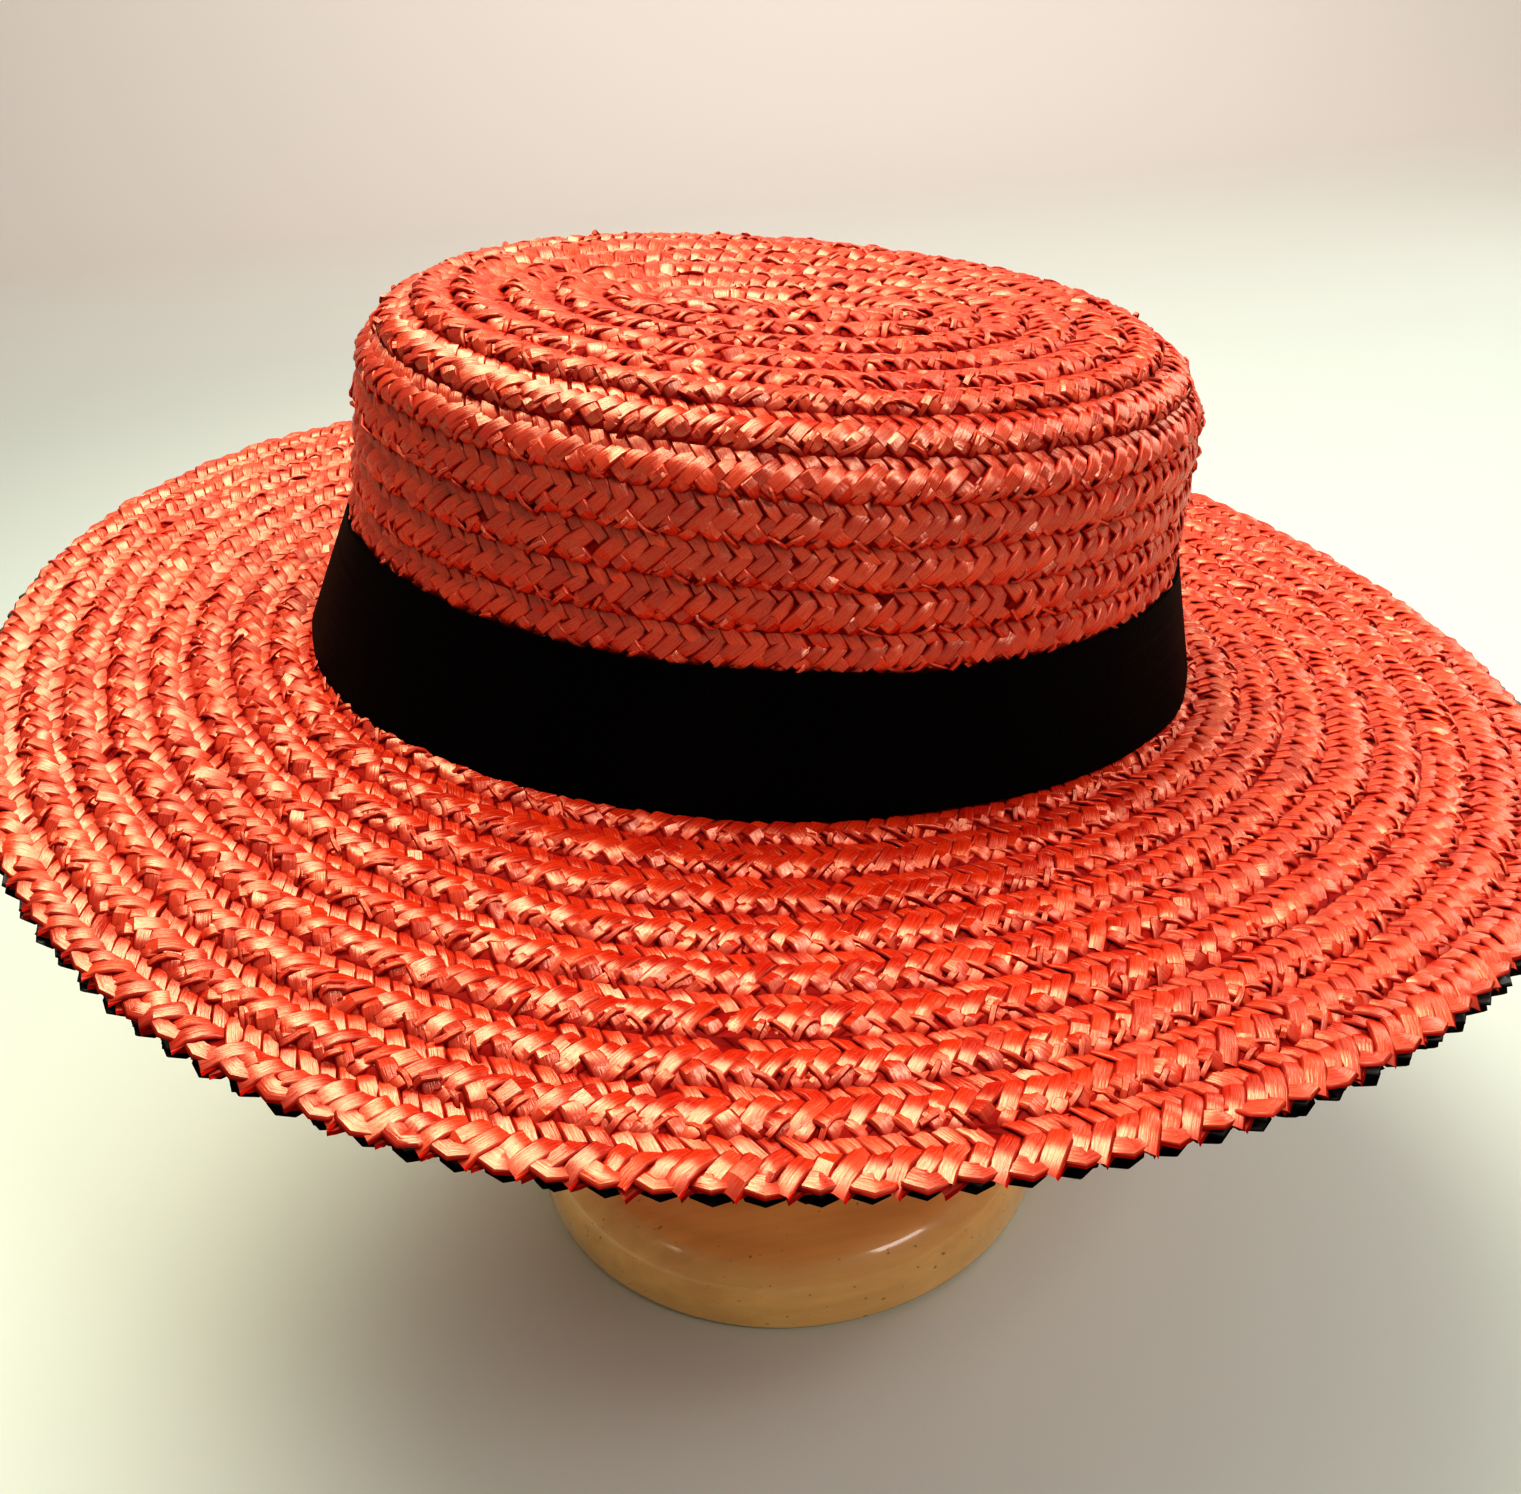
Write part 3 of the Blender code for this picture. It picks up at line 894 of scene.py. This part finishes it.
def crown_ground():
    """Ground of the crown: outer rings down its outline, then inner rings a straw wall within."""
    hat = sizes()
    edges = crown_edges()
    smallest = 0.5 * MM
    distances = np.linspace(smallest, edges[-1], CROWN_GRID.down)
    rows = np.interp(distances, edges, np.arange(len(edges)))
    turns = ring_turns(CROWN_GRID.around)
    outside = [
        crown_surface(distance, turns, ground_height(row, crown_fullness(row)))
        for distance, row in zip(distances, rows)
    ]
    every_fifth = slice(None, None, -5)
    inner = distances[every_fifth]
    inside = [crown_surface(distance, turns, -hat.straw_wall) for distance in inner]
    down = np.concatenate([rows, rows[every_fifth]])
    rings = seat(np.array(outside + inside))
    return shell("crown_ground", rings, down, braid_material("red_ground"), capped=True)


def brim_ground():
    """Ground of the brim: rings out over its top, then back under it."""
    hat, braid = sizes(), sizes("braid")
    row_setback = 0.2
    shares = np.linspace(0.0, 1.0 - row_setback / hat.brim_rows, BRIM_GRID.down)
    rows = shares * hat.brim_rows
    turns = ring_turns(BRIM_GRID.around)
    edge_fullness = 0.8 * braid.edge_fullness
    fullness = np.where(rows < hat.brim_rows - 1, braid.brim_fullness, edge_fullness)
    heights = ground_height(rows, fullness)
    top = [brim_surface(share, turns, height) for share, height in zip(shares, heights)]
    under = [underbrim_surface(share, turns, height) for share, height in zip(shares, heights)]
    down = np.concatenate([rows, rows[::-1]])
    rings = seat(np.array(top + under[::-1]))
    return shell("brim_ground", rings, down, braid_material("red_ground"))


def band(name, surface, grid, outermost, proud, material):
    """Shell of a band: rings over one of its faces, so far proud, and back over the other."""
    shares = np.linspace(0.0, outermost, grid.down)
    turns = ring_turns(grid.around)
    rings = [surface(share, turns, proud) for share in shares]
    rings += [surface(share, turns, 0.0) for share in shares[::-1]]
    down = np.concatenate([shares, shares[::-1]])
    return shell(name, seat(np.array(rings)), down, material)


def edge_ground():
    """Ground of the edge braid: rings out over its top, then back under it."""
    outermost, wall = 0.86, sizes().straw_wall
    look = braid_material("black_ground")
    return band("edge_ground", edge_surface, EDGE_GRID, outermost, -wall, look)


def ribbon_surface(share, turn, proud):
    """Points of the band at a share of the way from its top edge to its bottom edge.

    The top edge is an oval just clear of the crown, the bottom edge a wider one on the brim. The
    brim's warp comes in with the share's square, and low waves of the turn make it uneven.
    """
    hat, ribbon = sizes(), sizes("ribbon")
    clear = hat.row_step + hat.seat_gap
    top_half_width = hat.crown_half_width - ribbon.top * math.tan(hat.side_lean) + clear
    foot_half_length = hat.crown_half_width + hat.oval_stretch + ribbon.end_flare - ribbon.wall
    foot_half_width = hat.crown_half_width + ribbon.front_flare - ribbon.wall
    half_length = mix(top_half_width + hat.oval_stretch, foot_half_length, share)
    half_width = mix(top_half_width, foot_half_width, share)
    wave = sum(part.height * np.sin(part.waves * turn + part.start) for part in RIPPLES)
    reach = ribbon.end_flare / (hat.brim_half_length - hat.crown_half_width - hat.oval_stretch)
    bottom = hat.brim_underside + hat.straw_wall + clear
    height = mix(ribbon.top, bottom, share) + brim_warp(turn) * share * share * reach
    out = proud + ribbon.ripple * wave * share
    up = height + ribbon.ripple * wave * (1 - share)
    return oval(half_length + out, half_width + out, turn, up)


def ribbon_flat():
    """Length and height of the flat band: the length of its middle and its slant height."""
    turns = ring_turns(RIBBON_GRID.around + 1)
    edge = ribbon_surface(0.5, turns, 0.0)
    around = np.linalg.norm(edge - np.roll(edge, 1, axis=0), axis=1).sum()
    top, bottom = ribbon_surface(0.0, turns, 0.0), ribbon_surface(1.0, turns, 0.0)
    return around, np.linalg.norm(top - bottom, axis=1).mean()


def turned(name, profile, material):
    """Turn a profile of radius and height, listed from its top to its bottom, about the Z axis."""
    profile = np.array(profile)
    turns = ring_turns(TURNED_POINTS)
    rings = oval(profile[:, :1], profile[:, :1], turns[None], profile[:, 1:])
    return shell(name, rings, np.linspace(0.0, 1.0, len(profile)), material, capped=True)


def arc(radius, reach, height, start, end, steps):
    """Points round part of a circle: its centre plus radius times the cosine and the sine."""
    angles = np.linspace(start, end, steps)
    return [(reach + radius * math.cos(a), height + radius * math.sin(a)) for a in angles]


def foot_top(radius):
    """Height of the foot's top face, which rises evenly towards the post."""
    stand = sizes("stand")
    flat = stand.foot_radius - stand.foot_edge_radius
    return stand.foot_height + stand.foot_dishing * (1.0 - radius / flat)


def foot_profile():
    """Profile of the foot: its rising top, its large round, its side and the round at its sole."""
    stand = sizes("stand")
    edge, sole = stand.foot_edge_radius, stand.foot_sole_radius
    radii = np.linspace(stand.post_radius, stand.foot_radius - edge, 12)
    top = [(radius, foot_top(radius)) for radius in radii]
    centre = (stand.foot_radius - edge, stand.foot_height - edge)
    upper = arc(edge, *centre, start=math.pi / 2, end=0.0, steps=14)
    lower = arc(sole, stand.foot_radius - sole, sole, start=0.0, end=-math.pi / 2, steps=6)
    return top + upper[1:] + lower


def post_profile():
    """Profile of the post: the knob's round, just clear of the crown's tip, then straight down."""
    hat, stand = sizes(), sizes("stand")
    up = hat_matrix().col[2].to_3d()
    tip = hat_matrix() @ Vector((0.0, 0.0, hat.crown_height - hat.straw_wall))
    centre = (up.dot(tip) - stand.knob_radius - hat.seat_gap) / up.z
    lowest = -math.acos(stand.post_radius / stand.knob_radius)
    highest = 0.97 * math.pi / 2
    knob = arc(stand.knob_radius, 0.0, centre, start=highest, end=lowest, steps=24)
    bottom = foot_top(stand.post_radius) + hat.seat_gap
    heights = np.linspace(knob[-1][1], bottom, 8)[1:]
    return knob + [(stand.post_radius, height) for height in heights]


def stands_for(pieces, node):
    """Let pieces replace a solid of the model, which is hidden."""
    for piece in pieces:
        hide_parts(node)


class BOATER_OT_crown(bpy.types.Operator):
    """Weave the rows of braid of the crown over its ground"""

    bl_idname = "boater.crown"
    bl_label = "Weave the crown"

    def execute(self, context):
        tip_rows, rows = sizes().tip_rows, crown_rows()
        red = braid_material("dyed_red_straw")
        pieces = [
            crown_ground(),
            weave_rows("crown_tip_braid", rows[:tip_rows], red),
            weave_rows("crown_side_braid", rows[tip_rows:], red),
        ]
        stands_for(pieces, "crown")
        return {"FINISHED"}


class BOATER_OT_brim(bpy.types.Operator):
    """Weave the rows of braid of the brim's two faces over its ground"""

    bl_idname = "boater.brim"
    bl_label = "Weave the brim"

    def execute(self, context):
        top = brim_rows(brim_surface, PLAIT, SEEDS["brim"])
        under = brim_rows(underbrim_surface, FULL_LANES, SEEDS["underbrim"])
        half = len(top) // 2 + 1
        red = braid_material("dyed_red_straw")
        pieces = [
            brim_ground(),
            weave_rows("brim_inner_braid", top[:half], red),
            weave_rows("brim_outer_braid", top[half:], red),
            weave_rows("underbrim_inner_braid", under[:half], red, faces_down=True),
            weave_rows("underbrim_outer_braid", under[half:-1], red, faces_down=True),
        ]
        stands_for(pieces, "brim")
        return {"FINISHED"}


class BOATER_OT_edge(bpy.types.Operator):
    """Weave the black braid under the brim's edge"""

    bl_idname = "boater.edge"
    bl_label = "Weave the edge braid"

    def execute(self, context):
        lower, upper = edge_rows()
        black = braid_material("dyed_black_straw")
        pieces = [
            edge_ground(),
            weave_rows("edge_under_braid", [lower], black, faces_down=True),
            weave_rows("edge_points", [upper], black),
        ]
        stands_for(pieces, "edge_braid")
        return {"FINISHED"}


class BOATER_OT_ribbon(bpy.types.Operator):
    """Put the ribbed ribbon round the foot of the crown"""

    bl_idname = "boater.ribbon"
    bl_label = "Put on the ribbon"

    def execute(self, context):
        wall = sizes("ribbon").wall
        piece = band("ribbon", ribbon_surface, RIBBON_GRID, 1.0, wall, ribbon_material())
        stands_for([piece], "ribbon_band")
        ribbon_flat()
        return {"FINISHED"}


class BOATER_OT_stand(bpy.types.Operator):
    """Turn the wooden stand's foot and post"""

    bl_idname = "boater.stand"
    bl_label = "Turn the stand"

    def execute(self, context):
        wood = wood_material()
        for name, profile in (("foot", foot_profile()), ("post", post_profile())):
            stands_for([turned(name, profile, wood)], "stand_" + name)
        return {"FINISHED"}


def backdrop():
    """Floor that sweeps up into a backdrop: flat to the bend, a quarter circle, then upright."""
    bend, reach, near, top, side = 1.2, 1.9, -3.0, 3.2, 4.0
    curve = arc(bend, reach, bend, start=-math.pi / 2, end=0.0, steps=24)
    outline = np.array([(near, 0.0)] + curve + [(reach + bend, top)])
    x = np.linspace(-side, side, 9)
    points = np.stack(np.broadcast_arrays(x[None], outline[:, :1], outline[:, 1:]), axis=-1)
    index = np.arange(points[..., 0].size).reshape(points.shape[:2])
    quads = np.stack([index[:-1, :-1], index[:-1, 1:], index[1:, 1:], index[1:, :-1]], axis=-1)
    mesh = bpy.data.meshes.new("floor")
    mesh.from_pydata(points.reshape(-1, 3).tolist(), [], quads.reshape(-1, 4).tolist())
    mesh.shade_smooth()
    mesh.materials.append(floor_material())
    piece = bpy.data.objects.new("floor", mesh)
    bpy.context.collection.objects.link(piece)


def soft_light(name, place, aim, size, power, tint, spread):
    """Add a square light at a place, turned to what it lights, that spreads by some degrees."""
    light = bpy.data.lights.new(name, "AREA")
    light.size = size
    light.spread = math.radians(spread)
    light.energy = power
    light.color = tint
    lamp = bpy.data.objects.new(name, light)
    lamp.location = place
    lamp.rotation_euler = (Vector(aim) - Vector(place)).to_track_quat("-Z", "Y").to_euler()
    bpy.context.collection.objects.link(lamp)


def photo_camera():
    """Camera at the photo's place: its axes are its right, its up and back from what it sees."""
    camera = bpy.data.cameras.new("photo_camera")
    camera.lens = camera.sensor_width * FOCAL_PIXELS / PHOTO_PIXELS
    camera.clip_start = 0.01
    view = bpy.data.objects.new("photo_camera", camera)
    place = (-0.0458, -0.3296, 0.3284)
    right = (0.9830, -0.1722, -0.0638)
    up = (0.1397, 0.4760, 0.8683)
    back = (-0.1192, -0.8624, 0.4920)
    turn = Matrix((right, up, back)).transposed()
    view.matrix_world = Matrix.Translation(place) @ turn.to_4x4()
    bpy.context.collection.objects.link(view)
    bpy.context.scene.camera = view


class BOATER_OT_stage(bpy.types.Operator):
    """Set up the floor, the lights and the camera"""

    bl_idname = "boater.stage"
    bl_label = "Set up the stage"

    def execute(self, context):
        photo_camera()
        backdrop()
        for light in LIGHTS:
            soft_light(**light._asdict())
        world = bpy.data.worlds.new("studio_air")
        world.use_nodes = True
        air = world.node_tree.nodes["Background"]
        air.inputs["Color"].default_value = (1.0, 0.97, 0.88, 1.0)
        air.inputs["Strength"].default_value = 0.20
        context.scene.world = world
        view = context.scene.view_settings
        view.view_transform = "Standard"
        view.look = "High Contrast"
        return {"FINISHED"}


class BOATER_PT_panel(bpy.types.Panel):
    """Steps that dress the hat and its stand"""

    bl_idname = "BOATER_PT_panel"
    bl_label = "Straw boater"
    bl_space_type = "VIEW_3D"
    bl_region_type = "UI"
    bl_category = "Boater"

    def draw(self, context):
        for step in STEPS:
            self.layout.operator(step.bl_idname)


STEPS = (
    BOATER_OT_stage,
    BOATER_OT_crown,
    BOATER_OT_brim,
    BOATER_OT_edge,
    BOATER_OT_ribbon,
    BOATER_OT_stand,
)
SETTINGS = {
    "boater_hat": HatSizes,
    "boater_braid": BraidSizes,
    "boater_ribbon": RibbonSizes,
    "boater_stand": StandSizes,
}
CLASSES = (*SETTINGS.values(), *STEPS, BOATER_PT_panel)


def register():
    """Register the sizes, the steps and the panel."""
    for kind in CLASSES:
        bpy.utils.register_class(kind)
    for name, settings in SETTINGS.items():
        setattr(bpy.types.Scene, name, bpy.props.PointerProperty(type=settings))


def unregister():
    """Take the sizes, the panel and the steps away again."""
    for name in SETTINGS:
        delattr(bpy.types.Scene, name)
    for kind in reversed(CLASSES):
        bpy.utils.unregister_class(kind)


def main():
    """Dress the model step by step."""
    register()
    bpy.ops.boater.stage()
    bpy.ops.boater.crown()
    bpy.ops.boater.brim()
    bpy.ops.boater.edge()
    bpy.ops.boater.ribbon()
    bpy.ops.boater.stand()


if __name__ == "__main__":
    main()
